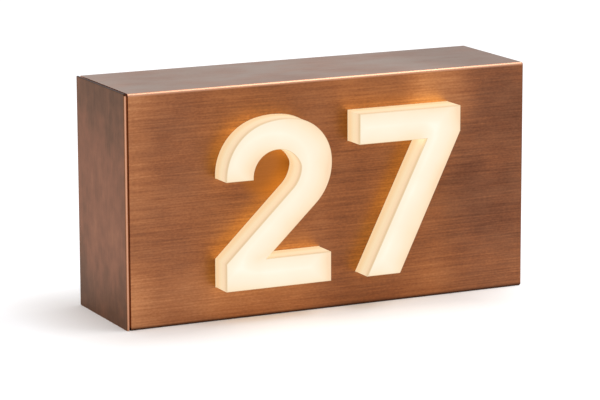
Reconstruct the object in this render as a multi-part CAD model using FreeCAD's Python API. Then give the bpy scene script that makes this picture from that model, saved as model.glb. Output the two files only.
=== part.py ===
import FreeCAD
import Part

import math
import os

# House number plaque: a folded copper box with two opal acrylic numerals lit from behind.
# X runs along the front, the front looks towards -Y and Z is up. The origin is under the middle of the
# whole part, on the surface that the box stands on.

# Copper box
box_width = 320.0
box_depth = 90.0
box_height = 170.0
sheet = 1.0
bend_radius = 1.8
end_plate_thickness = 1.6
end_plate_rounding = 0.7
seam_gap = 1.6
spigot_sheet = 1.2
spigot_reach = 12.0
spigot_clearance = 0.1

# Numerals
digit_height = 120.0
digit_base = 25.1
digit_proud = 19.0
digit_chamfer = 0.5
digit_clearance = 0.5

# Numeral 2: its outer and inner outlines run clockwise from the terminal, as arcs of a radius and a turn
two_left = -91.0
two_width = 82.5
two_overshoot = 1.6
two_bar = 21.5
two_bowl_inset = 0.5
two_terminal_width = 21.1
two_start_heading = 92.4
two_bowl_left_radius = 40.1
two_bowl_left_turn = 78.6
two_bowl_top_radius = 61.0
two_bowl_top_turn = 23.9
two_bowl_right_radius = 32.7
two_bowl_right_turn = 75.7
two_bowl_lower_radius = 40.7
two_bowl_lower_turn = 50.9
two_inner_heading = 94.0
two_eye_top_radius = 19.25
two_eye_top_turn = 159.2
two_eye_right_radius = 7.95
two_eye_right_turn = 30.8
two_eye_lower_radius = 22.6
two_eye_lower_turn = 40.2

# Numeral 7
seven_left = 14.6
seven_width = 82.0
seven_bar = 22.3
seven_end_height = 18.5
seven_neck = 54.6
seven_foot_inset = 6.1
seven_foot_width = 26.8

# Backing panel of the numerals and its fixings
panel_thickness = 3.0
panel_side_margin = 20.0
panel_edge_margin = 9.0
panel_fixing_inset = 8.0
panel_stud_length = 8.0
m3_radius = 1.5
m3_hole_radius = 1.8
m3_nut_flats = 5.5
m3_nut_thickness = 2.4
m3_head_radius = 2.8
m3_head_height = 1.8
thread_clearance = 0.05

# Rear plate, gasket and cable entry
plate_thickness = 1.5
plate_corner = 3.0
rail_depth = 20.0
rail_height = 12.0
rail_thickness = 1.5
rail_bend_radius = 2.2
plate_clearance = 0.4
gasket_thickness = 3.0
gasket_width = 9.0
gasket_inset = 2.0
wall_hole_radius = 2.75
wall_hole_end_inset = 20.0
wall_hole_edge_inset = 35.0
plate_middle = box_height / 2
entry_x = 88.0
entry_z = 42.0
entry_hole_radius = 10.0
grommet_lip = 3.0
grommet_lip_thickness = 2.0
grommet_bore_radius = 4.0
grommet_clearance = 0.05

# Lock screws through the underside
lock_spacing = 110.0
lock_inset = 10.0
m4_radius = 2.0
m4_head_radius = 4.0
m4_head_recess = 0.15
m4_screw_length = 9.0
lock_nut_radius = 3.9
lock_nut_height = 3.5
countersink_clearance = 0.1

# Tray, strips and diodes
tray_width = 250.0
tray_height = 130.0
tray_thickness = 1.5
tray_flange = 10.0
tray_bend_radius = 2.0
tray_gap = 37.5
standoff_flats = 7.0
standoff_column = 112.0
standoff_row = 32.0
tray_screw_length = 8.0
board_count = 4
board_pitch = 32.0
board_length = 236.0
board_width = 14.0
board_thickness = 1.2
led_margin = 12.0
led_pitch = 17.5
led_length = 3.5
led_width = 2.8
led_height = 0.7
link_width = 1.6
link_thickness = 0.3
link_gap = 3.2
link_overlap = 4.0

# Driver, terminal block and leads
driver_left = -60.0
driver_drop = 6.0
driver_length = 110.0
driver_width = 42.0
driver_height = 26.0
driver_rounding = 3.0
driver_ear = 10.0
driver_ear_thickness = 2.0
terminal_left = 14.0
terminal_bottom = 30.0
terminal_pitch = 10.0
terminal_ways = 3
terminal_width = 18.0
terminal_height = 16.0
terminal_base = 4.0
terminal_barrier = 1.2
terminal_screw_radius = 2.2
terminal_screw_height = 1.4
terminal_slot_width = 0.7
plate_stud_length = 8.0
lead_width = 4.6
lead_thickness = 2.2
lead_end_gap = 0.3
lead_hole_clearance = 1.0
lead_level = 11.0
supply_reach = 30.0
output_inset = 16.0
earth_x = -12.0
earth_z = 42.0

# Derived places
overall_depth = box_depth + digit_proud
digit_front = -overall_depth / 2
front_face = digit_front + digit_proud
rear_edge = overall_depth / 2
right_end = box_width / 2
left_end = -box_width / 2
end_plate_inner = left_end + end_plate_thickness
cover_left = end_plate_inner + seam_gap
sheet_back = front_face + sheet
panel_back = sheet_back + panel_thickness
plate_rear = rear_edge - gasket_thickness
plate_front = plate_rear - plate_thickness
plate_left = end_plate_inner + plate_clearance
plate_right = right_end - sheet - plate_clearance
plate_bottom = sheet + plate_clearance
plate_top = box_height - sheet - plate_clearance
rail_front = plate_front - rail_depth
tray_front = panel_back + tray_gap
tray_back = tray_front + tray_thickness
board_front = tray_front - board_thickness
output_row = board_count // 2
output_level = plate_middle + board_pitch * (output_row - (board_count - 1) / 2)
output_x = -board_length / 2 + output_inset
driver_bottom = output_level - driver_drop


def block(x0, x1, y0, y1, z0, z1):
    """A box between two opposite corners."""
    return Part.makeBox(x1 - x0, y1 - y0, z1 - z0, FreeCAD.Vector(x0, y0, z0))


def rod(radius, x, y, z, length, direction=(0, 1, 0)):
    """A cylinder that starts at a point and runs along a direction."""
    return Part.makeCylinder(radius, length, FreeCAD.Vector(x, y, z), FreeCAD.Vector(*direction))


def hexagon(flats, x, y, z, length):
    """A hexagonal bar along +Y, given by the width across its flats."""
    corner = flats / math.sqrt(3)
    points = []
    for step in range(7):
        angle = math.radians(60 * step)
        points.append(FreeCAD.Vector(x + corner * math.cos(angle), y, z + corner * math.sin(angle)))
    return Part.Face(Part.makePolygon(points)).extrude(FreeCAD.Vector(0, length, 0))


def edges_on(shape, tests):
    """The straight edges whose two ends satisfy any of the tests."""
    found = []
    for edge in shape.Edges:
        ends = [vertex.Point for vertex in edge.Vertexes]
        if any(all(test(point) for point in ends) for test in tests):
            found.append(edge)
    return found


def near(value, target):
    return abs(value - target) < 0.001


def walk(start, heading, arcs):
    """Edges of tangent arcs walked clockwise in the XZ plane, with the last point and heading."""
    edges = []
    x, z = start
    for radius, turn in arcs:
        centre_x = x + radius * math.sin(math.radians(heading))
        centre_z = z - radius * math.cos(math.radians(heading))
        points = []
        for part in (0.0, 0.5, 1.0):
            angle = math.radians(heading - turn * part)
            points.append(
                FreeCAD.Vector(centre_x - radius * math.sin(angle), 0, centre_z + radius * math.cos(angle))
            )
        edges.append(Part.Arc(*points).toShape())
        heading = heading - turn
        x, z = points[-1].x, points[-1].z
    return edges, (x, z), heading


def straight(points):
    """Edges joining a list of XZ points."""
    edges = []
    for first, second in zip(points, points[1:]):
        a = FreeCAD.Vector(first[0], 0, first[1])
        b = FreeCAD.Vector(second[0], 0, second[1])
        edges.append(Part.LineSegment(a, b).toShape())
    return edges


def two_outline():
    """The closed outline of the 2, in place, on the plane y = 0."""
    bowl = (
        (two_bowl_left_radius, two_bowl_left_turn),
        (two_bowl_top_radius, two_bowl_top_turn),
        (two_bowl_right_radius, two_bowl_right_turn),
        (two_bowl_lower_radius, two_bowl_lower_turn),
    )
    eye = (
        (two_eye_top_radius, two_eye_top_turn),
        (two_eye_right_radius, two_eye_right_turn),
        (two_eye_lower_radius, two_eye_lower_turn),
    )
    trial, end, heading = walk((0.0, 0.0), two_start_heading, bowl)
    bounds = Part.Wire(trial).BoundBox
    start_x = two_left + two_bowl_inset - bounds.XMin
    start_z = digit_base + digit_height + two_overshoot - bounds.ZMax
    outer, outer_end, outer_heading = walk((start_x, start_z), two_start_heading, bowl)
    inner_start = (start_x + two_terminal_width, start_z)
    inner, inner_end, inner_heading = walk(inner_start, two_inner_heading, eye)
    bar_top = digit_base + two_bar
    crotch_x = outer_end[0] - (outer_end[1] - bar_top) / math.tan(math.radians(outer_heading + 180))
    heel_z = inner_end[1] - (inner_end[0] - two_left) * math.tan(math.radians(inner_heading + 180))
    tail = straight(
        [
            outer_end,
            (crotch_x, bar_top),
            (two_left + two_width, bar_top),
            (two_left + two_width, digit_base),
            (two_left, digit_base),
            (two_left, heel_z),
            inner_end,
        ]
    )
    terminal = straight([inner_start, (start_x, start_z)])
    return Part.Wire(Part.__sortEdges__(outer + tail + inner + terminal))


def seven_outline():
    """The closed outline of the 7, in place, on the plane y = 0."""
    top = digit_base + digit_height
    right = seven_left + seven_width
    foot = seven_left + seven_foot_inset
    corners = [
        (seven_left, top),
        (right, top),
        (right, top - seven_end_height),
        (foot + seven_foot_width, digit_base),
        (foot, digit_base),
        (seven_left + seven_neck, top - seven_bar),
        (seven_left, top - seven_bar),
        (seven_left, top),
    ]
    return Part.Wire(straight(corners))


def numeral(outline):
    """An acrylic numeral that reaches from the back of the sheet to its proud front face."""
    face = Part.Face(outline)
    face.translate(FreeCAD.Vector(0, digit_front, 0))
    solid = face.extrude(FreeCAD.Vector(0, digit_proud + sheet, 0))
    front_edges = edges_on(solid, [lambda p: near(p.y, digit_front)])
    return solid.makeChamfer(digit_chamfer, front_edges)


def cut_out(outline):
    """The space that a numeral and its clearance take in the front sheet."""
    face = Part.Face(outline).makeOffset2D(digit_clearance)
    face.translate(FreeCAD.Vector(0, front_face - sheet, 0))
    return face.extrude(FreeCAD.Vector(0, 3 * sheet, 0))


def front_cover():
    """The folded cover: front, top, underside and right end, open to the rear and to the left."""
    outer = block(cover_left, right_end, front_face, rear_edge, 0, box_height)
    outer = outer.makeFillet(bend_radius, folded_edges(outer, front_face, right_end, 0, box_height))
    inner_right = right_end - sheet
    inner_top = box_height - sheet
    inner = block(cover_left - sheet, inner_right, sheet_back, rear_edge + sheet, sheet, inner_top)
    inner_edges = folded_edges(inner, sheet_back, inner_right, sheet, inner_top)
    inner = inner.makeFillet(bend_radius - sheet, inner_edges)
    cover = outer.cut(inner)
    for outline in (two_outline(), seven_outline()):
        cover = cover.cut(cut_out(outline))
    for x in lock_places():
        cover = cover.cut(countersink(x, countersink_clearance))
    return cover


def folded_edges(shape, front, right, bottom, top):
    """The edges of a block that are folds of the cover."""
    tests = [
        lambda p: near(p.y, front) and near(p.z, top),
        lambda p: near(p.y, front) and near(p.z, bottom),
        lambda p: near(p.y, front) and near(p.x, right),
        lambda p: near(p.x, right) and near(p.z, top),
        lambda p: near(p.x, right) and near(p.z, bottom),
    ]
    return edges_on(shape, tests)


def end_plate():
    """The left end plate with rounded edges and the three-sided spigot that enters the cover."""
    plate = block(left_end, end_plate_inner, front_face, rear_edge, 0, box_height)
    corners = [
        lambda p: near(p.y, front_face) and near(p.z, 0),
        lambda p: near(p.y, front_face) and near(p.z, box_height),
    ]
    plate = plate.makeFillet(bend_radius, edges_on(plate, corners))
    rim = []
    for edge in plate.Edges:
        middle = edge.BoundBox
        if near(middle.XMin, left_end) and near(middle.XMax, left_end):
            rim.append(edge)
    plate = plate.makeFillet(end_plate_rounding, rim)
    inset = sheet + spigot_clearance
    reach = cover_left + spigot_reach
    spigot_rear = rail_front - plate_clearance
    outer = block(end_plate_inner, reach, front_face + inset, spigot_rear, inset, box_height - inset)
    hollow_inset = inset + spigot_sheet
    inner = block(
        end_plate_inner,
        reach,
        front_face + hollow_inset,
        spigot_rear,
        hollow_inset,
        box_height - hollow_inset,
    )
    outer_edges = [
        lambda p: near(p.y, front_face + inset) and near(p.z, inset),
        lambda p: near(p.y, front_face + inset) and near(p.z, box_height - inset),
    ]
    outer = outer.makeFillet(bend_radius, edges_on(outer, outer_edges))
    inner_edges = [
        lambda p: near(p.y, front_face + hollow_inset) and near(p.z, hollow_inset),
        lambda p: near(p.y, front_face + hollow_inset) and near(p.z, box_height - hollow_inset),
    ]
    inner = inner.makeFillet(bend_radius - spigot_sheet, edges_on(inner, inner_edges))
    spigot = outer.cut(inner)
    return plate.fuse(spigot).removeSplitter()


def panel_places():
    """Where the studs of the backing panel stand, as XZ pairs."""
    half = right_end - panel_side_margin - panel_fixing_inset
    low = panel_edge_margin + panel_fixing_inset
    return [(side * half, z) for side in (-1, 1) for z in (low, box_height - low)]


def diffuser_panel():
    """The opal panel behind the front sheet, bonded to the backs of the numerals."""
    half = right_end - panel_side_margin
    panel = block(-half, half, sheet_back, panel_back, panel_edge_margin, box_height - panel_edge_margin)
    for x, z in panel_places():
        panel = panel.cut(rod(m3_hole_radius, x, sheet_back, z, panel_thickness))
    return panel


def panel_studs():
    """Weld studs on the back of the front sheet."""
    return [rod(m3_radius, x, sheet_back, z, panel_stud_length) for x, z in panel_places()]


def nut(x, y, z):
    body = hexagon(m3_nut_flats, x, y, z, m3_nut_thickness)
    return body.cut(rod(m3_radius + thread_clearance, x, y, z, m3_nut_thickness))


def panel_nuts():
    return [nut(x, panel_back, z) for x, z in panel_places()]


def lock_places():
    """Where the lock screws stand along X."""
    return (-lock_spacing, lock_spacing)


def lock_y():
    """How far forward of the rear edge the lock screws stand."""
    return rail_front + lock_inset


def countersink(x, clearance):
    """The space of a lock screw's cone and shank, from the underside up through the lower rail."""
    head = m4_head_radius + clearance
    shank = m4_radius + clearance
    cone = Part.makeCone(head, shank, head - shank, FreeCAD.Vector(x, lock_y(), m4_head_recess))
    mouth = rod(head, x, lock_y(), -sheet, sheet + m4_head_recess, (0, 0, 1))
    stem = rod(shank, x, lock_y(), m4_head_recess, plate_bottom + rail_thickness, (0, 0, 1))
    return mouth.fuse(cone).fuse(stem)


def lock_screws():
    """Countersunk screws that hold the cover to the lower rail."""
    screws = []
    for x in lock_places():
        cone_height = m4_head_radius - m4_radius
        base = FreeCAD.Vector(x, lock_y(), m4_head_recess)
        cone = Part.makeCone(m4_head_radius, m4_radius, cone_height, base)
        shank = rod(m4_radius, x, lock_y(), m4_head_recess, m4_screw_length, (0, 0, 1))
        slot_width = m4_radius * 0.6
        socket = hexagon_up(slot_width * 2, x, lock_y(), m4_head_recess, cone_height * 0.7)
        screws.append(cone.fuse(shank).removeSplitter().cut(socket))
    return screws


def hexagon_up(flats, x, y, z, height):
    """A hexagonal bar along +Z, for a socket."""
    corner = flats / math.sqrt(3)
    points = []
    for step in range(7):
        angle = math.radians(60 * step)
        points.append(FreeCAD.Vector(x + corner * math.cos(angle), y + corner * math.sin(angle), z))
    return Part.Face(Part.makePolygon(points)).extrude(FreeCAD.Vector(0, 0, height))


def lock_nuts():
    """Clinch nuts that stand on the lower rail."""
    nuts = []
    seat = plate_bottom + rail_thickness
    for x in lock_places():
        body = rod(lock_nut_radius, x, lock_y(), seat, lock_nut_height, (0, 0, 1))
        hole = rod(m4_radius + thread_clearance, x, lock_y(), seat, lock_nut_height, (0, 0, 1))
        nuts.append(body.cut(hole))
    return nuts


def channel(left, right, web_front, web_back, reach, bottom, top, radius):
    """A folded channel: a web with two flanges, bent with the given outside radius."""
    thickness = web_back - web_front
    outer = block(left, right, web_back - reach, web_back, bottom, top)
    tests = [
        lambda p: near(p.y, web_back) and near(p.z, bottom),
        lambda p: near(p.y, web_back) and near(p.z, top),
    ]
    outer = outer.makeFillet(radius, edges_on(outer, tests))
    low = bottom + thickness
    high = top - thickness
    inner = block(left, right, web_back - reach, web_front, low, high)
    tests = [
        lambda p: near(p.y, web_front) and near(p.z, low),
        lambda p: near(p.y, web_front) and near(p.z, high),
    ]
    inner = inner.makeFillet(radius - thickness, edges_on(inner, tests))
    return outer.cut(inner)


def standoff_places():
    """Where the tray's spacers stand, as XZ pairs."""
    return [
        (side * standoff_column, plate_middle + level * standoff_row) for side in (-1, 1) for level in (-1, 1)
    ]


def stud_places():
    """Where the plate's weld studs stand, with the thickness that each one clamps."""
    driver_z = driver_bottom + driver_width / 2
    return [
        (driver_left - driver_ear / 2, driver_z, driver_ear_thickness),
        (driver_left + driver_length + driver_ear / 2, driver_z, driver_ear_thickness),
        (earth_x, earth_z, 0.0),
    ]


def rear_plate():
    """The flat wall plate with its four wall holes and its cable entry."""
    plate = block(plate_left, plate_right, plate_front, plate_rear, plate_bottom, plate_top)
    corners = []
    for x in (plate_left, plate_right):
        for z in (plate_bottom, plate_top):
            corners.append(lambda p, x=x, z=z: near(p.x, x) and near(p.z, z))
    plate = plate.makeFillet(plate_corner, edges_on(plate, corners))
    for side in (-1, 1):
        for level in (-1, 1):
            x = side * (box_width / 2 - wall_hole_end_inset)
            z = plate_middle + level * (box_height / 2 - wall_hole_edge_inset)
            plate = plate.cut(rod(wall_hole_radius, x, plate_front, z, plate_thickness))
    plate = plate.cut(rod(entry_hole_radius, entry_x, plate_front, entry_z, plate_thickness))
    return plate


def cover_rails():
    """Two angle rails welded along the plate: the cover hangs on the upper and is locked to the lower."""
    rails = []
    for edge, inward in ((plate_bottom, 1), (plate_top, -1)):
        far = edge + inward * rail_height
        step = edge + inward * rail_thickness
        web_front = plate_front - rail_thickness
        outer = block(plate_left, plate_right, rail_front, plate_front, min(edge, far), max(edge, far))
        bend = edges_on(outer, [lambda p, z=edge: near(p.y, plate_front) and near(p.z, z)])
        outer = outer.makeFillet(rail_bend_radius, bend)
        inner = block(plate_left, plate_right, rail_front, web_front, min(step, far), max(step, far))
        bend = edges_on(inner, [lambda p, z=step: near(p.y, web_front) and near(p.z, z)])
        inner = inner.makeFillet(rail_bend_radius - rail_thickness, bend)
        rail = outer.cut(inner)
        for x in lock_places():
            rail = rail.cut(countersink(x, countersink_clearance))
        rails.append(rail)
    return rails


def rear_gasket():
    """The foam frame that seals the plate to the wall."""
    inset = gasket_inset
    low = plate_bottom + inset
    high = plate_top - inset
    left = plate_left + inset
    right = plate_right - inset
    frame = block(left, right, plate_rear, rear_edge, low, high)
    hole = block(
        left + gasket_width,
        right - gasket_width,
        plate_rear,
        rear_edge,
        low + gasket_width,
        high - gasket_width,
    )
    return frame.cut(hole)


def cable_grommet():
    """The rubber grommet of the cable entry, with a lip on each side of the plate."""
    lip = entry_hole_radius + grommet_lip
    front = rod(lip, entry_x, plate_front - grommet_lip_thickness, entry_z, grommet_lip_thickness)
    rear = rod(lip, entry_x, plate_rear, entry_z, grommet_lip_thickness)
    neck = rod(entry_hole_radius - grommet_clearance, entry_x, plate_front, entry_z, plate_thickness)
    body = front.fuse(neck).fuse(rear)
    start = plate_front - grommet_lip_thickness
    length = plate_thickness + 2 * grommet_lip_thickness
    return body.cut(rod(grommet_bore_radius, entry_x, start, entry_z, length)).removeSplitter()


def tray_standoffs():
    """Hexagonal spacers welded to the plate, tapped at their front ends."""
    standoffs = []
    length = plate_front - tray_back
    for x, z in standoff_places():
        body = hexagon(standoff_flats, x, tray_back, z, length)
        hole = rod(m3_radius + thread_clearance, x, tray_back, z, tray_screw_length)
        standoffs.append(body.cut(hole))
    return standoffs


def board_levels():
    """The heights of the strips."""
    first = plate_middle - board_pitch * (board_count - 1) / 2
    return [first + row * board_pitch for row in range(board_count)]


def led_tray():
    """The aluminium tray, with flanges that point to the front."""
    bottom = plate_middle - tray_height / 2
    top = plate_middle + tray_height / 2
    half = tray_width / 2
    tray = channel(
        -half,
        half,
        tray_front,
        tray_back,
        tray_flange,
        bottom,
        top,
        tray_bend_radius,
    )
    for x, z in standoff_places():
        tray = tray.cut(rod(m3_hole_radius, x, tray_front, z, tray_thickness))
    half_thickness = lead_thickness / 2 + lead_hole_clearance
    half_width = lead_width / 2 + lead_hole_clearance
    slot = block(
        output_x - half_thickness,
        output_x + half_thickness,
        tray_front,
        tray_back,
        output_level - half_width,
        output_level + half_width,
    )
    return tray.cut(slot)


def cheese_screw(x, seat, z, length):
    """A cylinder-head screw that goes in towards +Y."""
    head = rod(m3_head_radius, x, seat - m3_head_height, z, m3_head_height)
    return head.fuse(rod(m3_radius, x, seat, z, length))


def tray_screws():
    return [cheese_screw(x, tray_front, z, tray_screw_length) for x, z in standoff_places()]


def led_strips():
    """The strips that carry the diodes, bonded to the tray."""
    half = board_length / 2
    half_width = board_width / 2
    return [block(-half, half, board_front, tray_front, z - half_width, z + half_width) for z in board_levels()]


def led_steps():
    """How many diodes stand on each side of a strip's middle one."""
    return int((board_length / 2 - led_margin) / led_pitch)


def led_packages():
    """The diodes, spaced evenly along each strip."""
    steps = led_steps()
    diodes = []
    for z in board_levels():
        for step in range(-steps, steps + 1):
            x = step * led_pitch
            diodes.append(
                block(
                    x - led_length / 2,
                    x + led_length / 2,
                    board_front - led_height,
                    board_front,
                    z - led_width / 2,
                    z + led_width / 2,
                )
            )
    return diodes


def link_straps():
    """Flat links that carry the supply from each strip to the next."""
    straps = []
    levels = board_levels()
    length = board_pitch - board_width + 2 * link_overlap
    middle = (led_steps() - 0.5) * led_pitch
    for lower in levels[:-1]:
        start = lower + board_width / 2 - link_overlap
        for x in (middle - link_gap / 2, middle + link_gap / 2):
            left = x - link_width / 2
            front = board_front - link_thickness
            straps.append(block(left, left + link_width, front, board_front, start, start + length))
    return straps


def led_driver():
    """The potted driver: a rounded case with an ear at each end."""
    top = driver_bottom + driver_width
    right = driver_left + driver_length
    case = block(driver_left, right, plate_front - driver_height, plate_front, driver_bottom, top)
    rim = edges_on(case, [lambda p: near(p.y, plate_front - driver_height)])
    case = case.makeFillet(driver_rounding, rim)
    ear_front = plate_front - driver_ear_thickness
    ears = block(
        driver_left - driver_ear,
        right + driver_ear,
        ear_front,
        plate_front,
        driver_bottom + driver_rounding,
        top - driver_rounding,
    )
    driver = case.fuse(ears)
    for x, z, grip in stud_places()[:2]:
        driver = driver.cut(rod(m3_hole_radius, x, ear_front, z, driver_ear_thickness))
    return driver.removeSplitter()


def plate_studs():
    """Weld studs on the wall plate: two for the driver and one for the earth."""
    start = plate_front - plate_stud_length
    return [rod(m3_radius, x, start, z, plate_stud_length) for x, z, grip in stud_places()]


def plate_nuts():
    return [nut(x, plate_front - grip - m3_nut_thickness, z) for x, z, grip in stud_places()]


def terminal_way_x(way):
    """The middle of one way of the terminal block."""
    return terminal_left + (way + 0.5) * terminal_pitch


def terminal_block():
    """The terminal block: a base and one pillar for each way, with a barrier's width between two."""
    right = terminal_left + terminal_ways * terminal_pitch
    top = terminal_bottom + terminal_width
    front = plate_front - terminal_height
    base_front = plate_front - terminal_base
    body = block(terminal_left, right, base_front, plate_front, terminal_bottom, top)
    half = terminal_pitch / 2 - terminal_barrier
    for way in range(terminal_ways):
        x = terminal_way_x(way)
        body = body.fuse(block(x - half, x + half, front, base_front, terminal_bottom, top))
    return body.removeSplitter()


def terminal_screws():
    """The heads of the clamping screws, each with a slot."""
    screws = []
    start = plate_front - terminal_height - terminal_screw_height
    middle = terminal_bottom + terminal_width / 2
    half = terminal_slot_width / 2
    for way in range(terminal_ways):
        x = terminal_way_x(way)
        head = rod(terminal_screw_radius, x, start, middle, terminal_screw_height)
        left = x - terminal_screw_radius
        right = x + terminal_screw_radius
        slot = block(left, right, start, start + terminal_screw_height / 2, middle - half, middle + half)
        screws.append(head.cut(slot))
    return screws


def flat_lead(name, points, across):
    """A flat twin lead along straight runs joined by tangent arcs, all in one plane.

    The plane's normal is the direction of the lead's width.
    """
    corners = [FreeCAD.Vector(*point) for point in points]
    edges = []
    here = corners[0]
    for before, corner, after in zip(corners, corners[1:], corners[2:]):
        into = (before - corner).normalize()
        away = (after - corner).normalize()
        turn = math.pi - into.getAngle(away)
        setback = 0.45 * min(before.distanceToPoint(corner), after.distanceToPoint(corner))
        bend = setback / math.tan(turn / 2)
        bisector = (into + away).normalize()
        middle = corner + bisector * (bend / math.cos(turn / 2) - bend)
        end = corner + away * setback
        edges.append(Part.LineSegment(here, corner + into * setback).toShape())
        edges.append(Part.Arc(corner + into * setback, middle, end).toShape())
        print(name, "bend radius", round(bend, 1))
        here = end
    edges.append(Part.LineSegment(here, corners[-1]).toShape())
    path = Part.Wire(edges)
    wide = FreeCAD.Vector(*across).normalize() * (lead_width / 2)
    heading = (corners[1] - corners[0]).normalize()
    thin = heading.cross(wide).normalize() * (lead_thickness / 2)
    start = corners[0]
    rim = [start + wide + thin, start + wide - thin, start - wide - thin, start - wide + thin]
    section = Part.makePolygon(rim + rim[:1])
    solid = path.makePipeShell([section], True, False)
    print(name, "volume ratio", round(solid.Volume / (lead_width * lead_thickness * path.Length), 4))
    return solid


def supply_lead():
    """The lead from the driver's right end down and round to the terminal block."""
    level = plate_front - lead_level
    start_x = driver_left + driver_length + lead_end_gap
    start_z = driver_bottom + driver_width / 2
    terminal_top = terminal_bottom + terminal_width
    turn_z = (start_z + terminal_top) / 2
    end_x = terminal_way_x(terminal_ways - 1)
    points = [
        (start_x, level, start_z),
        (start_x + supply_reach, level, start_z),
        (start_x + supply_reach, level, turn_z),
        (end_x, level, turn_z),
        (end_x, level, terminal_top + lead_end_gap),
    ]
    return flat_lead("supply lead", points, (0, 1, 0))


def output_lead():
    """The lead from the driver's left end through the tray's slot to a strip."""
    level = plate_front - lead_level
    points = [
        (driver_left - lead_end_gap, level, output_level),
        (output_x, level, output_level),
        (output_x, tray_front, output_level),
    ]
    return flat_lead("output lead", points, (0, 0, 1))


def export(name, shape):
    """Write one node, either a solid or a group of like solids."""
    if isinstance(shape, list):
        shape = Part.makeCompound(shape)
    if not shape.isValid():
        print(name, "is not valid")
    shape.exportStep("parts/" + name + ".step")


os.makedirs("parts", exist_ok=True)
export("front_cover", front_cover())
export("end_plate", end_plate())
export("digit_2", numeral(two_outline()))
export("digit_7", numeral(seven_outline()))
export("diffuser_panel", diffuser_panel())
export("panel_studs", panel_studs())
export("panel_nuts", panel_nuts())
export("rear_plate", rear_plate())
export("cover_rails", cover_rails())
export("rear_gasket", rear_gasket())
export("cable_grommet", cable_grommet())
export("lock_screws", lock_screws())
export("lock_nuts", lock_nuts())
export("tray_standoffs", tray_standoffs())
export("led_tray", led_tray())
export("tray_screws", tray_screws())
export("led_strips", led_strips())
export("led_packages", led_packages())
export("link_straps", link_straps())
export("led_driver", led_driver())
export("plate_studs", plate_studs())
export("plate_nuts", plate_nuts())
export("terminal_block", terminal_block())
export("terminal_screws", terminal_screws())
export("supply_lead", supply_lead())
export("output_lead", output_lead())
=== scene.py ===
import math

import bmesh
import bpy
import numpy as np
from mathutils import Matrix, Vector
from mathutils.geometry import delaunay_2d_cdt


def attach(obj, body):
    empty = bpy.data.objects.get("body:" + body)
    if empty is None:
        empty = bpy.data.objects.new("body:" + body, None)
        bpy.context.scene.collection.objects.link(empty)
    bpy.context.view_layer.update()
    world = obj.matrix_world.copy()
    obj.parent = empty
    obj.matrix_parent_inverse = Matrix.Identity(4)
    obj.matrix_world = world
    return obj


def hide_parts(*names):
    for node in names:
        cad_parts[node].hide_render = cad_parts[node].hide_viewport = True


# A lit house number plaque: finishes, numerals with a rounded front edge and a glow, and a white studio

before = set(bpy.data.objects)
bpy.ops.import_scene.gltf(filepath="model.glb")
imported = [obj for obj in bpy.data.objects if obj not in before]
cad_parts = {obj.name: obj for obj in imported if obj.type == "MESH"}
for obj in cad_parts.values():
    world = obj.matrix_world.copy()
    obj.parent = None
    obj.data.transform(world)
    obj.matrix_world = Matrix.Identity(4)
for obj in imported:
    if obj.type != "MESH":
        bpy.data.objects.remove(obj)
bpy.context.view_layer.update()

MM = 0.001

# The numerals in millimetres, as the copper front carries them
DIGIT_BASE = 25.1
DIGIT_HEIGHT = 120.0
DIGIT_FRONT = -54.5
SHEET_FACE = -35.5
SHEET_BACK = -34.5
EDGE_RADIUS = 0.5
TWO_LEFT = -91.0
TWO_WIDTH = 82.5
TWO_BAR = 21.5
TWO_OVERSHOOT = 1.6
TWO_BOWL_INSET = 0.5
TWO_TERMINAL = 21.1
TWO_BOWL_HEADING = 92.4
TWO_BOWL = ((40.1, 78.6), (61.0, 23.9), (32.7, 75.7), (40.7, 50.9))
TWO_EYE_HEADING = 94.0
TWO_EYE = ((19.25, 159.2), (7.95, 30.8), (22.6, 40.2))
SEVEN_LEFT = 14.6
SEVEN_WIDTH = 82.0
SEVEN_BAR = 22.3
SEVEN_END = 18.5
SEVEN_NECK = 54.6
SEVEN_FOOT = 6.1
SEVEN_FOOT_WIDTH = 26.8
# How the numerals' meshes are divided: the outline's step, the levels of a wall and of its rounded edge,
# and the front's lattice, with its pitch across and up and how far it stays from the rim
OUTLINE_STEP = 1.2
TRIAL_STEP = 0.05
WALL_LEVELS = 12
EDGE_LEVELS = 5
LATTICE_ACROSS = 1.6
LATTICE_UP = 1.4
LATTICE_MARGIN = 0.8
SMOOTH_ANGLE = 32

# How many cycles each noise layer is moved on from the one before, along and across the brushing
LAYER_SHIFT = (3.7, 5.3)

# From a point to the place whose depth in gives its glow: the glow lies to the left of each stroke's middle.
# The glow runs from its edge colour at the first of these depths to its core colour at the second
GLOW_SHIFT = (6.0, -1.0)
GLOW_DEPTHS = (-5.0, 15.0)

# Places on the copper in metres: where the front sheet lies, where the cover turns into its right end, the
# upper and the lower fold, and the end plate's rim and seam
FRONT_Y = SHEET_FACE * MM
RIGHT_TURN_X = (0.1584, 0.1592)
UPPER_FOLD_Z = (0.1676, 0.1690)
UPPER_FOLD_Y = (-0.0345, -0.0336)
LOWER_FOLD_Z = (0.0008, 0.0028)
END_RIM_X = (-0.15995, -0.1594)
SEAM_X = (-0.15845, -0.15835)

# The foot that the floor's shadow follows: its middle and its half size in metres
SHADOW_MIDDLE = (-0.03, 0.0, 0.0)
SHADOW_HALF = (0.13, 0.0545, 0.0)


def linear(hex_colour):
    """The linear colour of an sRGB hex value."""
    channels = np.array([int(hex_colour[i : i + 2], 16) for i in (1, 3, 5)]) / 255
    straight = channels / 12.92
    curved = ((channels + 0.055) / 1.055) ** 2.4
    return (*np.where(channels <= 0.04045, straight, curved).tolist(), 1.0)


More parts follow.
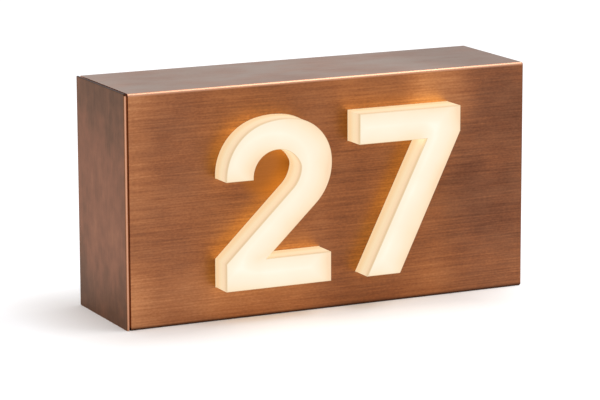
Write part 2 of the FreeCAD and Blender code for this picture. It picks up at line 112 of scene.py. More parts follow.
def add(tree, kind, settings):
    """Adds a node. Each setting is a property, an input by name or number, or a ramp's stops; an output
    given for an input is linked to it."""
    made = tree.nodes.new(kind)
    for key, value in settings.items():
        if key == "stops":
            places = made.color_ramp.elements
            while len(places) < len(value):
                places.new(0.5)
            for place, (position, colour) in zip(places, value):
                place.position = position
                place.color = linear(colour)
        elif isinstance(key, str) and key not in made.inputs.keys():
            setattr(made, key, value)
        elif isinstance(value, bpy.types.NodeSocket):
            tree.links.new(value, made.inputs[key])
        else:
            made.inputs[key].default_value = value
    return made


def start(name):
    """A new material with an empty node tree."""
    made = bpy.data.materials.new(name)
    made.use_nodes = True
    made.node_tree.nodes.clear()
    return made, made.node_tree


def brushed(tree, along, across, layers, middle):
    """One height for a brushed surface: noise layers on the unrolled sheet, each with its cycles per metre
    along and across the brushing, its detail and its weight, added round a middle value. Each layer is
    moved on from the one before, so that no two show the same noise."""
    place = add(tree, "ShaderNodeCombineXYZ", {"X": along, "Y": across}).outputs[0]
    height = middle
    for number, (along_rate, across_rate, detail, weight) in enumerate(layers):
        stretched = add(
            tree,
            "ShaderNodeMapping",
            {
                "Vector": place,
                "Scale": (along_rate, across_rate, 1.0),
                "Location": (number * LAYER_SHIFT[0], number * LAYER_SHIFT[1], 0),
            },
        ).outputs[0]
        noise = add(
            tree,
            "ShaderNodeTexNoise",
            {
                "noise_dimensions": "2D",
                "Vector": stretched,
                "Scale": 1.0,
                "Detail": detail,
                "Roughness": 0.55,
            },
        ).outputs[0]
        centred = add(tree, "ShaderNodeMath", {"operation": "SUBTRACT", 0: noise, 1: 0.5}).outputs[0]
        height = add(
            tree, "ShaderNodeMath", {"operation": "MULTIPLY_ADD", 0: centred, 1: weight, 2: height}
        ).outputs[0]
    return height


def patinated_copper_sheet():
    """Copper sheet, belt-brushed along its length, browned with a patina and lacquered. The eye sees fine
    streaks from end to end under cloudy redder and browner patches, a right-hand side painted darker as
    shade, a paler fold at the top as a painted highlight, and a lower fold painted dark as the shade where it
    meets the ground."""
    made, tree = start("Brushed patinated copper sheet")
    place = add(tree, "ShaderNodeTexCoord", {}).outputs["Object"]
    axes = add(tree, "ShaderNodeSeparateXYZ", {"Vector": place}).outputs
    # The right end is folded back, so there the brushing runs along Y
    end = add(
        tree, "ShaderNodeMapRange", {0: axes["X"], 1: RIGHT_TURN_X[0], 2: RIGHT_TURN_X[1]}
    ).outputs[0]
    kept = add(tree, "ShaderNodeMath", {"operation": "SUBTRACT", 0: 1.0, 1: end}).outputs[0]
    across = add(
        tree, "ShaderNodeMath", {"operation": "MULTIPLY_ADD", 0: axes["Y"], 1: kept, 2: axes["Z"]}
    ).outputs[0]
    along = add(
        tree, "ShaderNodeMath", {"operation": "MULTIPLY_ADD", 0: axes["Y"], 1: end, 2: axes["X"]}
    ).outputs[0]
    # Belt marks are 0.1 mm wide: drawn about 1 mm wide here so that they show
    streaks = ((12.0, 760.0, 1.0, 0.32), (50.0, 820.0, 1.0, 0.18), (420.0, 820.0, 1.0, 0.24))
    clouds = ((14.0, 22.0, 2.0, 0.34), (45.0, 70.0, 2.0, 0.16))
    # Tones that fade along an axis: darker to the right, a painted shade; paler low down; paler to the left
    # beside the seam, a painted highlight; paler at the top. Each has the axis, where it starts and ends, and
    # its first and last tone
    fades = (
        (axes["X"], 0.06, 0.125, 0.0, -0.2),
        (axes["Z"], 0.01, 0.06, 0.2, 0.0),
        (axes["X"], -0.157, -0.13, 0.18, 0.0),
        (axes["Z"], 0.125, 0.165, 0.0, 0.09),
    )
    # Tones that fade round a place, matched to the photograph: browner under the foot of the 7 and over the
    # right-hand side of the 2, a painted shade, and paler over the right-hand end of the 7's bar, a painted
    # glow. Each has X and Z, its inner and outer radius, and its tone
    painted_light_patches = (
        (0.032, 0.012, 0.01, 0.07, -0.22),
        (-0.036, 0.156, 0.01, 0.044, -0.16),
        (0.090, 0.153, 0.008, 0.042, 0.36),
    )
    for x, z, core, rim, tone in painted_light_patches:
        away = add(
            tree, "ShaderNodeVectorMath", {"operation": "DISTANCE", 0: place, 1: (x, FRONT_Y, z)}
        ).outputs["Value"]
        fades += ((away, core, rim, tone, 0.0),)
    middle = 0.5
    for measure, low, high, first, last in fades:
        fade = add(
            tree,
            "ShaderNodeMapRange",
            {"interpolation_type": "SMOOTHSTEP", 0: measure, 1: low, 2: high, 3: first, 4: last},
        ).outputs[0]
        middle = add(tree, "ShaderNodeMath", {"operation": "ADD", 0: middle, 1: fade}).outputs[0]
    height = brushed(tree, along, across, clouds + streaks, middle)
    colour = add(
        tree,
        "ShaderNodeValToRGB",
        {
            "Fac": height,
            "stops": [
                (0.0, "#4C2E22"),
                (0.3, "#774A34"),
                (0.5, "#8F593B"),
                (0.7, "#A56A45"),
                (1.0, "#C6885B"),
            ],
        },
    ).outputs[0]
    # Tan film in soft patches
    film = brushed(tree, along, across, ((24.0, 42.0, 3.0, 1.6), (70.0, 260.0, 3.0, 0.9)), 0.25)
    film = add(tree, "ShaderNodeMapRange", {0: film, 3: 0.0, 4: 0.3}).outputs[0]
    colour = add(
        tree, "ShaderNodeMix", {"data_type": "RGBA", 0: film, 6: colour, 7: linear("#986B4E")}
    ).outputs[2]
    # A deeper orange round the numerals, which stands in for part of their glow
    aside = add(tree, "ShaderNodeMath", {"operation": "ABSOLUTE", 0: axes["X"]}).outputs[0]
    glow_share = add(
        tree,
        "ShaderNodeMapRange",
        {"interpolation_type": "SMOOTHSTEP", 0: aside, 1: 0.08, 2: 0.125, 3: 1.0, 4: 0.0},
    ).outputs[0]
    colour = add(
        tree,
        "ShaderNodeMix",
        {"data_type": "RGBA", "blend_type": "MULTIPLY", 0: glow_share, 6: colour, 7: linear("#FFF9EC")},
    ).outputs[2]
    # The same inside the bowl of the 2, where it is deepest
    bowl = add(
        tree, "ShaderNodeVectorMath", {"operation": "DISTANCE", 0: place, 1: (-0.0515, FRONT_Y, 0.108)}
    ).outputs["Value"]
    bowl = add(
        tree,
        "ShaderNodeMapRange",
        {"interpolation_type": "SMOOTHSTEP", 0: bowl, 1: 0.014, 2: 0.026, 3: 0.7, 4: 0.0},
    ).outputs[0]
    colour = add(
        tree, "ShaderNodeMix", {"data_type": "RGBA", 0: bowl, 6: colour, 7: linear("#A36028")}
    ).outputs[2]
    # A paler grey-brown on the top, in patches; darker towards the right-hand end, a painted shade as on the
    # front
    normal = add(tree, "ShaderNodeNewGeometry", {}).outputs["Normal"]
    upward = add(tree, "ShaderNodeSeparateXYZ", {"Vector": normal}).outputs["Z"]
    top_share = add(tree, "ShaderNodeMapRange", {0: upward, 1: 0.8, 2: 0.98}).outputs[0]
    top_patches = brushed(tree, along, across, ((22.0, 36.0, 3.0, 1.6), (30.0, 500.0, 1.0, 0.2)), 0.5)
    top_patches = add(tree, "ShaderNodeMapRange", {0: top_patches, 1: 0.2, 2: 0.8, 3: 0.95, 4: 0.48}).outputs[0]
    top_share = add(tree, "ShaderNodeMath", {"operation": "MULTIPLY", 0: top_share, 1: top_patches}).outputs[0]
    rightward = add(
        tree,
        "ShaderNodeMapRange",
        {"interpolation_type": "SMOOTHSTEP", 0: axes["X"], 1: 0.05, 2: 0.13},
    ).outputs[0]
    top_tone = add(
        tree,
        "ShaderNodeMix",
        {"data_type": "RGBA", 0: rightward, 6: linear("#9F8878"), 7: linear("#907A6B")},
    ).outputs[2]
    colour = add(tree, "ShaderNodeMix", {"data_type": "RGBA", 0: top_share, 6: colour, 7: top_tone}).outputs[2]
    # The upper fold is painted paler, a painted highlight along the bend
    upper = add(tree, "ShaderNodeMapRange", {0: axes["Z"], 1: UPPER_FOLD_Z[0], 2: UPPER_FOLD_Z[1]}).outputs[0]
    forward = add(
        tree,
        "ShaderNodeMapRange",
        {0: axes["Y"], 1: UPPER_FOLD_Y[0], 2: UPPER_FOLD_Y[1], 3: 1.0, 4: 0.0},
    ).outputs[0]
    fold_highlight = add(tree, "ShaderNodeMath", {"operation": "MULTIPLY", 0: upper, 1: forward}).outputs[0]
    colour = add(
        tree, "ShaderNodeMix", {"data_type": "RGBA", 0: fold_highlight, 6: colour, 7: linear("#D8A283")}
    ).outputs[2]
    # The lower fold stands on the ground: it is painted dark, a painted shade where it meets the floor, and
    # made rougher
    shaded_sole = add(
        tree,
        "ShaderNodeMapRange",
        {0: axes["Z"], 1: LOWER_FOLD_Z[0], 2: LOWER_FOLD_Z[1], 3: 1.0, 4: 0.0},
    ).outputs[0]
    colour = add(
        tree, "ShaderNodeMix", {"data_type": "RGBA", 0: shaded_sole, 6: colour, 7: linear("#56382A")}
    ).outputs[2]
    rough = add(tree, "ShaderNodeMapRange", {0: height, 1: 0.2, 2: 0.8, 3: 0.42, 4: 0.34}).outputs[0]
    rough = add(tree, "ShaderNodeMix", {0: shaded_sole, 2: rough, 3: 0.85}).outputs[0]
    marks = brushed(tree, along, across, streaks, 0.5)
    bump = add(tree, "ShaderNodeBump", {"Strength": 0.3, "Distance": 0.00005, "Height": marks}).outputs[0]
    # The brushing's direction lies along the sheet and level. The slight slope along Y gives the top one too
    brushing = add(
        tree, "ShaderNodeVectorMath", {"operation": "CROSS_PRODUCT", 0: normal, 1: (0.0, 0.02, 1.0)}
    ).outputs[0]
    shader = add(
        tree,
        "ShaderNodeBsdfPrincipled",
        {
            "Metallic": 1.0,
            "Base Color": colour,
            "Roughness": rough,
            "Normal": bump,
            "Anisotropic": 0.55,
            "Anisotropic Rotation": 0.25,
            "Tangent": brushing,
        },
    ).outputs[0]
    add(tree, "ShaderNodeOutputMaterial", {"Surface": shader})
    return made


def patinated_copper_plate():
    """The end plate: copper brushed up and down, then browned more deeply than the front. The eye sees a
    mottled grey-brown with a warmer patch in the middle, a rim painted bright as a highlight and painted dark
    on top as shade, and a plain brown spigot that the seam keeps in shade."""
    made, tree = start("Mottled patinated copper plate")
    place = add(tree, "ShaderNodeTexCoord", {}).outputs["Object"]
    axes = add(tree, "ShaderNodeSeparateXYZ", {"Vector": place}).outputs
    streaks = ((80.0, 620.0, 2.0, 0.20), (40.0, 220.0, 3.0, 0.12))
    clouds = ((18.0, 30.0, 2.0, 0.45), (90.0, 110.0, 3.0, 0.28))
    centre = add(
        tree, "ShaderNodeVectorMath", {"operation": "DISTANCE", 0: place, 1: (-0.16, 0.008, 0.080)}
    ).outputs["Value"]
    middle = add(
        tree,
        "ShaderNodeMapRange",
        {"interpolation_type": "SMOOTHSTEP", 0: centre, 1: 0.02, 2: 0.095, 3: 0.62, 4: 0.36},
    ).outputs[0]
    height = brushed(tree, axes["Z"], axes["Y"], clouds + streaks, middle)
    colour = add(
        tree,
        "ShaderNodeValToRGB",
        {"Fac": height, "stops": [(0.1, "#4D3119"), (0.4, "#6B4121"), (0.6, "#7F4A27"), (0.9, "#965B31")]},
    ).outputs[0]
    rim = add(tree, "ShaderNodeMapRange", {0: axes["X"], 1: END_RIM_X[0], 2: END_RIM_X[1]}).outputs[0]
    # The rim is painted bright, a painted highlight, and dark where it faces up, a painted shade
    normal = add(tree, "ShaderNodeNewGeometry", {}).outputs["Normal"]
    upward = add(tree, "ShaderNodeSeparateXYZ", {"Vector": normal}).outputs["Z"]
    upward = add(tree, "ShaderNodeMapRange", {0: upward, 1: 0.1, 2: 0.4}).outputs[0]
    rim_highlight_and_shade = add(
        tree,
        "ShaderNodeMix",
        {"data_type": "RGBA", 0: upward, 6: linear("#D49C7C"), 7: linear("#2E1B12")},
    ).outputs[2]
    colour = add(tree, "ShaderNodeMix", {"data_type": "RGBA", 0: rim, 6: colour, 7: rim_highlight_and_shade}).outputs[2]
    seam = add(tree, "ShaderNodeMapRange", {0: axes["X"], 1: SEAM_X[0], 2: SEAM_X[1]}).outputs[0]
    colour = add(
        tree, "ShaderNodeMix", {"data_type": "RGBA", 0: seam, 6: colour, 7: linear("#7E4424")}
    ).outputs[2]
    rough = add(tree, "ShaderNodeMapRange", {0: height, 1: 0.2, 2: 0.8, 3: 0.50, 4: 0.40}).outputs[0]
    marks = brushed(tree, axes["Z"], axes["Y"], streaks, 0.5)
    bump = add(tree, "ShaderNodeBump", {"Strength": 0.25, "Distance": 0.00005, "Height": marks}).outputs[0]
    shader = add(
        tree,
        "ShaderNodeBsdfPrincipled",
        {"Metallic": 1.0, "Base Color": colour, "Roughness": rough, "Normal": bump},
    ).outputs[0]
    add(tree, "ShaderNodeOutputMaterial", {"Surface": shader})
    return made


def lit_opal_acrylic():
    """Cast opal acrylic, 20 mm thick and lit from behind; its light is painted as an emitted glow. The eye
    sees a creamy white core that warms towards the edge of each stroke, most on the right, and walls that go
    from pale amber at the copper to a greyer line just behind the front edge, a painted shade. The patterns
    are depths in from the outline, kept on the mesh in millimetres: one straight, and one shifted sideways
    for the glow."""
    made, tree = start("Lit opal acrylic")
    place = add(tree, "ShaderNodeTexCoord", {}).outputs["Object"]
    forward = add(tree, "ShaderNodeSeparateXYZ", {"Vector": place}).outputs["Y"]
    depth = add(tree, "ShaderNodeAttribute", {"attribute_name": "depth_mm"}).outputs["Fac"]
    glow = add(tree, "ShaderNodeAttribute", {"attribute_name": "glow_mm"}).outputs["Fac"]
    noise = add(
        tree, "ShaderNodeTexNoise", {"Vector": place, "Scale": 26.0, "Detail": 2.0, "Roughness": 0.5}
    ).outputs[0]
    # The glow's depth wanders by up to 3 mm
    uneven = add(tree, "ShaderNodeMapRange", {0: noise, 1: 0.3, 2: 0.7, 3: -3.0, 4: 3.0}).outputs[0]
    glow = add(tree, "ShaderNodeMath", {"operation": "ADD", 0: glow, 1: uneven}).outputs[0]
    share = add(tree, "ShaderNodeMapRange", {0: glow, 1: GLOW_DEPTHS[0], 2: GLOW_DEPTHS[1]}).outputs[0]
    face = add(
        tree,
        "ShaderNodeValToRGB",
        {
            "Fac": share,
            "stops": [
                (0.02, "#F8D8B2"),
                (0.12, "#F9DFBB"),
                (0.20, "#FAE3C1"),
                (0.30, "#FAE6C6"),
                (0.40, "#FAE9CC"),
                (0.55, "#FAECD2"),
                (0.75, "#FAF0D8"),
                (0.95, "#FAF6E2"),
            ],
        },
    ).outputs[0]
    rise = add(
        tree, "ShaderNodeMapRange", {0: forward, 1: FRONT_Y, 2: DIGIT_FRONT * MM, 3: 0.05, 4: 1.0}
    ).outputs[0]
    wall = add(
        tree,
        "ShaderNodeValToRGB",
        {
            "Fac": rise,
            "stops": [
                (0.0, "#A65A20"),
                (0.05, "#FFDDAE"),
                (0.18, "#FFDAA8"),
                (0.5, "#FFE8C0"),
                (0.78, "#FFE2BC"),
                (0.95, "#E8CCA4"),
            ],
        },
    ).outputs[0]
    on_face = add(tree, "ShaderNodeMapRange", {0: depth, 1: 0.3, 2: 0.55}).outputs[0]
    colour = add(tree, "ShaderNodeMix", {"data_type": "RGBA", 0: on_face, 6: wall, 7: face}).outputs[2]
    body = add(
        tree,
        "ShaderNodeMix",
        {"data_type": "RGBA", "blend_type": "MULTIPLY", 0: 1.0, 6: colour, 7: linear("#868686")},
    ).outputs[2]
    # The copper mirrors a deeper amber than the walls show to the eye, most from the level ones
    path = add(tree, "ShaderNodeLightPath", {}).outputs["Is Glossy Ray"]
    facing = add(tree, "ShaderNodeNewGeometry", {}).outputs["Normal"]
    facing = add(tree, "ShaderNodeSeparateXYZ", {"Vector": facing}).outputs["Z"]
    facing = add(tree, "ShaderNodeMath", {"operation": "ABSOLUTE", 0: facing}).outputs[0]
    reach = add(
        tree, "ShaderNodeMath", {"operation": "MULTIPLY_ADD", 0: facing, 1: 2.2, 2: 0.8}
    ).outputs[0]
    amber = add(
        tree,
        "ShaderNodeMix",
        {"data_type": "RGBA", 0: facing, 6: linear("#FFF07A"), 7: linear("#FFF5AC")},
    ).outputs[2]
    thrown = add(
        tree, "ShaderNodeVectorMath", {"operation": "SCALE", 0: amber, "Scale": reach}
    ).outputs[0]
    thrown = add(tree, "ShaderNodeMix", {"data_type": "RGBA", 0: on_face, 6: thrown, 7: face}).outputs[2]
    light = add(tree, "ShaderNodeMix", {"data_type": "RGBA", 0: path, 6: colour, 7: thrown}).outputs[2]
    shader = add(
        tree,
        "ShaderNodeBsdfPrincipled",
        {
            "Roughness": 0.35,
            "IOR": 1.49,
            "Base Color": body,
            "Emission Color": light,
            "Emission Strength": 0.8,
        },
    ).outputs[0]
    add(tree, "ShaderNodeOutputMaterial", {"Surface": shader})
    return made


def grained(name, dark, light, metallic, roughness, rate, stretch=(1.0, 1.0, 1.0)):
    """A made surface with a fine grain between two close colours, at so many cycles per metre. Those used
    give grains 0.4 to 3.3 mm wide, coarser than the real ones, so that they can show."""
    made, tree = start(name)
    place = add(tree, "ShaderNodeTexCoord", {}).outputs["Object"]
    stretched = add(
        tree, "ShaderNodeMapping", {"Vector": place, "Scale": tuple(rate * s for s in stretch)}
    ).outputs[0]
    grain = add(
        tree, "ShaderNodeTexNoise", {"Vector": stretched, "Scale": 1.0, "Detail": 4.0, "Roughness": 0.6}
    ).outputs[0]
    colour = add(tree, "ShaderNodeValToRGB", {"Fac": grain, "stops": [(0.3, dark), (0.7, light)]}).outputs[0]
    rough = add(
        tree,
        "ShaderNodeMapRange",
        {0: grain, 1: 0.3, 2: 0.7, 3: roughness - 0.05, 4: roughness + 0.05},
    ).outputs[0]
    bump = add(tree, "ShaderNodeBump", {"Strength": 0.15, "Distance": 0.00005, "Height": grain}).outputs[0]
    shader = add(
        tree,
        "ShaderNodeBsdfPrincipled",
        {"Metallic": metallic, "Base Color": colour, "Roughness": rough, "Normal": bump},
    ).outputs[0]
    add(tree, "ShaderNodeOutputMaterial", {"Surface": shader})
    return made


def arcs_walked(place, heading, arcs, step):
    """Points of tangent arcs walked clockwise. For heading h the centre is the place plus radius times
    (sin h, -cos h), and each point is the centre plus radius times (-sin h, cos h) as h falls by the turn."""
    chain = [np.array([place])]
    for radius, turn in arcs:
        angle = math.radians(heading)
        centre = chain[-1][-1] + radius * np.array([math.sin(angle), -math.cos(angle)])
        count = max(3, math.ceil(radius * math.radians(turn) / step))
        angles = np.radians(heading - np.linspace(0, turn, count + 1)[1:])
        chain.append(centre + radius * np.column_stack([-np.sin(angles), np.cos(angles)]))
        heading -= turn
    return np.concatenate(chain), heading


def runs(corners, step):
    """Points of straight runs between corners, evenly spaced, without the last corner."""
    chain = []
    for first, second in zip(np.array(corners[:-1]), np.array(corners[1:])):
        count = max(1, round(float(np.linalg.norm(second - first)) / step))
        chain.append(first + (second - first) * (np.arange(count) / count)[:, None])
    return np.concatenate(chain)


def two_outline(step):
    """The outline of the 2: the bowl's arcs and the eye's arcs, each running tangentially into a straight
    diagonal, joined by the foot bar below and the level terminal above."""
    trial, _ = arcs_walked((0.0, 0.0), TWO_BOWL_HEADING, TWO_BOWL, TRIAL_STEP)
    left = TWO_LEFT + TWO_BOWL_INSET - trial[:, 0].min()
    top = DIGIT_BASE + DIGIT_HEIGHT + TWO_OVERSHOOT - trial[:, 1].max()
    bowl, bowl_heading = arcs_walked((left, top), TWO_BOWL_HEADING, TWO_BOWL, step)
    eye, eye_heading = arcs_walked((left + TWO_TERMINAL, top), TWO_EYE_HEADING, TWO_EYE, step)
    bar = DIGIT_BASE + TWO_BAR
    crotch = bowl[-1][0] - (bowl[-1][1] - bar) / math.tan(math.radians(bowl_heading + 180))
    heel = eye[-1][1] - (eye[-1][0] - TWO_LEFT) * math.tan(math.radians(eye_heading + 180))
    right = TWO_LEFT + TWO_WIDTH
    corners = [
        bowl[-1],
        (crotch, bar),
        (right, bar),
        (right, DIGIT_BASE),
        (TWO_LEFT, DIGIT_BASE),
        (TWO_LEFT, heel),
        eye[-1],
    ]
    return np.concatenate([bowl[:-1], runs(corners, step), eye[:0:-1], runs([eye[0], bowl[0]], step)])


def seven_outline(step):
    """The outline of the 7: straight runs round its seven corners."""
    top = DIGIT_BASE + DIGIT_HEIGHT
    right = SEVEN_LEFT + SEVEN_WIDTH
    foot = SEVEN_LEFT + SEVEN_FOOT
    corners = [
        (SEVEN_LEFT, top),
        (right, top),
        (right, top - SEVEN_END),
        (foot + SEVEN_FOOT_WIDTH, DIGIT_BASE),
        (foot, DIGIT_BASE),
        (SEVEN_LEFT + SEVEN_NECK, top - SEVEN_BAR),
        (SEVEN_LEFT, top - SEVEN_BAR),
        (SEVEN_LEFT, top),
    ]
    return runs(corners, step)


def depth_in(points, outline):
    """How far each point lies from the nearest segment of an outline: the point's offset from the segment's
    start is projected on the segment, held to its length, and the rest measured."""
    run = np.roll(outline, -1, axis=0) - outline
    offset = points[:, None] - outline
    share = np.clip((offset * run).sum(2) / (run**2).sum(1), 0, 1)
    return np.linalg.norm(offset - run * share[..., None], axis=2).min(1)


def within(points, outline):
    """Whether a ray from each point towards +X crosses an outline an odd number of times."""
    x, z = points[:, :1], points[:, 1:]
    x0, z0 = outline.T
    x1, z1 = np.roll(outline, -1, axis=0).T
    rise = np.where(z1 == z0, 1.0, z1 - z0)
    crossed = ((z0 > z) != (z1 > z)) & (x < x0 + (z - z0) * (x1 - x0) / rise)
    return crossed.sum(1) % 2 == 1


def inset(outline, amounts):
    """An outline moved inwards by several amounts, one row each: every point goes along the bisector of
    its two runs' inward normals, by the amount over the cosine of half the corner's turn, held above 0.3."""
    before = outline - np.roll(outline, 1, axis=0)
    after = np.roll(before, -1, axis=0)
    normals = [np.column_stack([run[:, 1], -run[:, 0]]) for run in (before, after)]
    first, second = (n / np.linalg.norm(n, axis=1)[:, None] for n in normals)
    bisector = first + second
    bisector /= np.linalg.norm(bisector, axis=1)[:, None]
    stretch = 1 / np.maximum((bisector * first).sum(1), 0.3)
    return outline + np.asarray(amounts)[:, None, None] * (bisector * stretch[:, None])


def numeral(name, outline, cad_node, finish):
    """An acrylic numeral. Its walls are the outline carried forward in levels, then round the front edge:
    inset r (1 - cos a) and level front + r (1 - sin a) for a from 0 to 90 degrees. Its front is a lattice
    of points inside the rim, triangulated with it. Every point keeps its depth in from the outline, and the
    shifted depth of its glow, which is negative outside the outline."""
    angles = np.linspace(0, math.pi / 2, EDGE_LEVELS)
    levels = np.concatenate(
        [
            [SHEET_BACK],
            np.linspace(SHEET_FACE, DIGIT_FRONT + EDGE_RADIUS, WALL_LEVELS)[:-1],
            DIGIT_FRONT + EDGE_RADIUS * (1 - np.sin(angles)),
        ]
    )
    amounts = np.concatenate([np.zeros(WALL_LEVELS), EDGE_RADIUS * (1 - np.cos(angles))])
    rings = inset(outline, amounts)
    count = len(outline)
    walls = np.stack([rings[..., 0], np.repeat(levels[:, None], count, 1), rings[..., 1]], axis=2)
    rim = rings[-1]
    low, high = rim.min(0), rim.max(0)
    columns = np.arange(low[0], high[0], LATTICE_ACROSS)
    across, up = np.meshgrid(columns, np.arange(low[1], high[1], LATTICE_UP))
    across = across + LATTICE_ACROSS / 2 * (np.arange(across.shape[0]) % 2)[:, None]
    lattice = np.column_stack([across.ravel(), up.ravel()])
    lattice = lattice[within(lattice, rim)]
    lattice = lattice[depth_in(lattice, rim) > LATTICE_MARGIN]
    flat = np.concatenate([rim, lattice])
    borders = np.column_stack([np.arange(count), np.roll(np.arange(count), -1)])
    # Output type 1 keeps the triangles inside the rim
    net = delaunay_2d_cdt([Vector(point) for point in flat.tolist()], borders.tolist(), [], 1, 1e-5)
    flat = np.array([tuple(point) for point in net[0]])
    front = np.column_stack([flat[:, 0], np.full(len(flat), DIGIT_FRONT), flat[:, 1]])
    points = np.concatenate([walls.reshape(-1, 3), front])
    depths = np.concatenate([np.repeat(amounts, count), depth_in(flat, outline)])
    shifted = points[:, [0, 2]] + GLOW_SHIFT
    glows = np.where(within(shifted, outline), 1.0, -1.0) * depth_in(shifted, outline)
    here = np.arange(len(levels) - 1)[:, None] * count + np.arange(count)
    there = np.arange(len(levels) - 1)[:, None] * count + np.roll(np.arange(count), -1)
    quads = np.stack([here, here + count, there + count, there], axis=2).reshape(-1, 4)
    triangles = np.array(net[2]) + len(levels) * count
    faces = quads.tolist() + triangles.tolist() + [np.arange(count)[::-1].tolist()]
    mesh = bpy.data.meshes.new(name)
    mesh.from_pydata((points * MM).tolist(), [], faces)
    for title, values in (("depth_mm", depths), ("glow_mm", glows)):
        kept = mesh.attributes.new(title, "FLOAT", "POINT")
        kept.data.foreach_set("value", values.astype(np.float32))
    work = bmesh.new()
    work.from_mesh(mesh)
    bmesh.ops.remove_doubles(work, verts=work.verts, dist=1e-6)
    bmesh.ops.recalc_face_normals(work, faces=work.faces)
    work.to_mesh(mesh)
    work.free()
    mesh.polygons.foreach_set("use_smooth", np.ones(len(mesh.polygons), bool))
    mesh.set_sharp_from_angle(angle=math.radians(SMOOTH_ANGLE))
    mesh.materials.append(finish)
    made = bpy.data.objects.new(name, mesh)
    bpy.context.scene.collection.objects.link(made)
    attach(made, "root")
    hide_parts(cad_node)


def dress():
    """Puts a finish on each node and builds the two numerals."""
    zinc = (
        "panel_studs",
        "panel_nuts",
        "lock_screws",
        "lock_nuts",
        "tray_standoffs",
        "tray_screws",
        "plate_studs",
        "plate_nuts",
        "terminal_screws",
    )
    # Draws a grain out into streaks along X
    along_x = (0.03, 1.0, 1.0)
    dressed = (
        (patinated_copper_sheet(), ("front_cover",)),
        (patinated_copper_plate(), ("end_plate",)),
        # Extruded and left as it comes: an even warm white with a slight shine
        (grained("Opal acrylic sheet", "#EDE9DE", "#F4F1E8", 0.0, 0.3, 300.0), ("diffuser_panel",)),
        # Steel plated with bright zinc: a cool grey with a soft shine
        (grained("Zinc-plated steel", "#9DA1A6", "#B9BCBF", 1.0, 0.38, 900.0), zinc),
        # Sheet belt-brushed along its length: long fine streaks in a soft grey shine
        (
            grained("Brushed stainless steel", "#A6A6A4", "#B8B8B6", 1.0, 0.34, 1000.0, along_x),
            ("rear_plate", "cover_rails"),
        ),
        # Cut from a foamed sheet: a dull near-black, with a fine grain for its pores
        (grained("Closed-cell foam rubber", "#1B1B1C", "#2B2B2C", 0.0, 0.85, 1500.0), ("rear_gasket",)),
        # Moulded rubber: an even black, a little shinier than the foam
        (grained("Moulded black rubber", "#161616", "#202020", 0.0, 0.62, 900.0), ("cable_grommet",)),
        # Rolled sheet left as it comes: a pale grey with faint lines along it
        (
            grained("Mill-finish aluminium", "#B9BBBD", "#CACBCC", 1.0, 0.36, 800.0, along_x),
            ("led_tray",),
        ),
        # Printed on the boards and cured: a smooth, slightly shiny white
        (grained("White solder resist", "#E4E4E0", "#EEEEEA", 0.0, 0.35, 600.0), ("led_strips",)),
        # Silicone filled with phosphor: an opaque yellow, finely speckled
        (grained("Phosphor-filled diode", "#E6C452", "#F1D268", 0.0, 0.4, 2500.0), ("led_packages",)),
        # Copper strip dipped in tin: a bright grey with a clear shine
        (grained("Tinned copper", "#B4B5B6", "#C8C9CA", 1.0, 0.28, 1500.0), ("link_straps",)),
        # Injection-moulded plastic with a fine texture: a plain white, half dull
        (grained("Moulded white case", "#DCDCD8", "#E6E6E2", 0.0, 0.45, 1200.0), ("led_driver",)),
        # The same kind of plastic in a bluish near-black
        (grained("Moulded dark terminal", "#202124", "#2A2B2E", 0.0, 0.4, 1200.0), ("terminal_block",)),
        # Extruded vinyl: an even greyish white, half dull
        (
            grained("White lead sheath", "#D8D8D4", "#E2E2DE", 0.0, 0.5, 1200.0),
            ("supply_lead", "output_lead"),
        ),
    )
    for finish, names in dressed:
        for name in names:
            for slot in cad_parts[name].material_slots:
                slot.material = finish
    opal = lit_opal_acrylic()
    numeral("numeral_two", two_outline(OUTLINE_STEP), "digit_2", opal)
    numeral("numeral_seven", seven_outline(OUTLINE_STEP), "digit_7", opal)


def softbox(name, place, target, size, power):
    """A rectangular soft lamp that looks from its place at a target."""
    data = bpy.data.lights.new(name, "AREA")
    data.shape = "RECTANGLE"
    data.size, data.size_y = size
    data.energy = power
    made = bpy.data.objects.new(name, data)
    bpy.context.scene.collection.objects.link(made)
    made.location = place
    made.rotation_mode = "QUATERNION"
    made.rotation_quaternion = (Vector(target) - Vector(place)).to_track_quat("-Z", "Y")


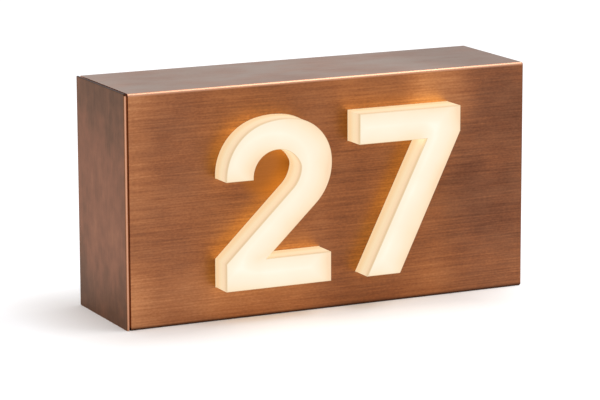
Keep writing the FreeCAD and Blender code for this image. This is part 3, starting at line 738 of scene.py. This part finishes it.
def studio():
    """A white floor that keeps the object's shadow, a white world, and a soft lamp above."""
    floor_finish, tree = start("White studio floor")
    diffuse = add(tree, "ShaderNodeBsdfDiffuse", {"Color": linear("#E9E8E8")}).outputs[0]
    path = add(tree, "ShaderNodeLightPath", {}).outputs
    seen = add(
        tree, "ShaderNodeMath", {"operation": "MAXIMUM", 0: path["Is Camera Ray"], 1: path["Is Glossy Ray"]}
    ).outputs[0]
    seen = add(
        tree, "ShaderNodeMath", {"operation": "MAXIMUM", 0: seen, 1: path["Is Transmission Ray"]}
    ).outputs[0]
    # Light is added to the floor, less of it close to the box so that its contact shadow stays, and there
    # in a warm tint as if thrown back by the copper
    place = add(tree, "ShaderNodeTexCoord", {}).outputs["Object"]
    away = add(
        tree, "ShaderNodeVectorMath", {"operation": "SUBTRACT", 0: place, 1: SHADOW_MIDDLE}
    ).outputs[0]
    away = add(tree, "ShaderNodeVectorMath", {"operation": "ABSOLUTE", 0: away}).outputs[0]
    away = add(
        tree, "ShaderNodeVectorMath", {"operation": "SUBTRACT", 0: away, 1: SHADOW_HALF}
    ).outputs[0]
    away = add(tree, "ShaderNodeVectorMath", {"operation": "MAXIMUM", 0: away, 1: (0.0, 0.0, 0.0)}).outputs[0]
    away = add(tree, "ShaderNodeVectorMath", {"operation": "LENGTH", 0: away}).outputs["Value"]
    near = add(tree, "ShaderNodeMapRange", {0: away, 1: 0.0, 2: 0.06, 3: 1.0, 4: 0.0}).outputs[0]
    lift = add(tree, "ShaderNodeMapRange", {0: near, 3: 0.38, 4: 0.15}).outputs[0]
    lift = add(tree, "ShaderNodeMath", {"operation": "MULTIPLY", 0: seen, 1: lift}).outputs[0]
    tint = add(
        tree, "ShaderNodeMix", {"data_type": "RGBA", 0: near, 6: linear("#FFFDFB"), 7: linear("#FFE9D2")}
    ).outputs[2]
    white = add(tree, "ShaderNodeEmission", {"Color": tint, "Strength": lift}).outputs[0]
    both = add(tree, "ShaderNodeAddShader", {0: diffuse, 1: white}).outputs[0]
    add(tree, "ShaderNodeOutputMaterial", {"Surface": both})
    mesh = bpy.data.meshes.new("floor")
    far = 6.0
    mesh.from_pydata([(-far, -far, 0), (far, -far, 0), (far, far, 0), (-far, far, 0)], [], [(0, 1, 2, 3)])
    mesh.materials.append(floor_finish)
    floor = bpy.data.objects.new("floor", mesh)
    bpy.context.scene.collection.objects.link(floor)

    # The world lights the box in a faintly bluish white, and the eye sees it as plain white
    world = bpy.data.worlds.new("studio")
    bpy.context.scene.world = world
    world.use_nodes = True
    tree = world.node_tree
    tree.nodes.clear()
    path = add(tree, "ShaderNodeLightPath", {}).outputs
    seen = add(
        tree,
        "ShaderNodeMath",
        {"operation": "MAXIMUM", 0: path["Is Camera Ray"], 1: path["Is Transmission Ray"]},
    ).outputs[0]
    soft = add(tree, "ShaderNodeBackground", {"Color": linear("#F6F7FA"), "Strength": 0.93}).outputs[0]
    plain = add(tree, "ShaderNodeBackground", {"Color": linear("#FEFEFE"), "Strength": 1.0}).outputs[0]
    both = add(tree, "ShaderNodeMixShader", {0: seen, 1: soft, 2: plain}).outputs[0]
    add(tree, "ShaderNodeOutputWorld", {"Surface": both})

    softbox("softbox_above", place=(0.50, -0.22, 1.10), target=(0.0, 0.0, 0.1), size=(0.8, 0.5), power=4.5)


def camera():
    """The camera, by its bearing, height angle and roll in degrees about the middle of the front's foot, and
    its distance from there and its places to the right and up in metres."""
    bearing, height, roll = np.radians([-25.5765, 11.628, -0.2139])
    distance, rightwards, upwards = 2.20289, -0.022127, 0.078647
    back = np.array([math.sin(bearing), -math.cos(bearing), 0]) * math.cos(height)
    back[2] = math.sin(height)
    level = np.cross(-back, [0, 0, 1])
    level /= np.linalg.norm(level)
    upright = np.cross(level, -back)
    right = level * math.cos(roll) + upright * math.sin(roll)
    up = upright * math.cos(roll) - level * math.sin(roll)
    place = np.array([0, FRONT_Y, 0]) + back * distance + right * rightwards + up * upwards
    data = bpy.data.cameras.new("camera")
    data.lens = 181.185
    data.sensor_width = 36.0
    data.sensor_fit = "HORIZONTAL"
    made = bpy.data.objects.new("camera", data)
    bpy.context.scene.collection.objects.link(made)
    pose = np.eye(4)
    pose[:3] = np.column_stack([right, up, back, place])
    made.matrix_world = Matrix(pose.tolist())
    bpy.context.scene.camera = made


camera()
dress()
studio()
bpy.context.scene.view_settings.view_transform = "Standard"
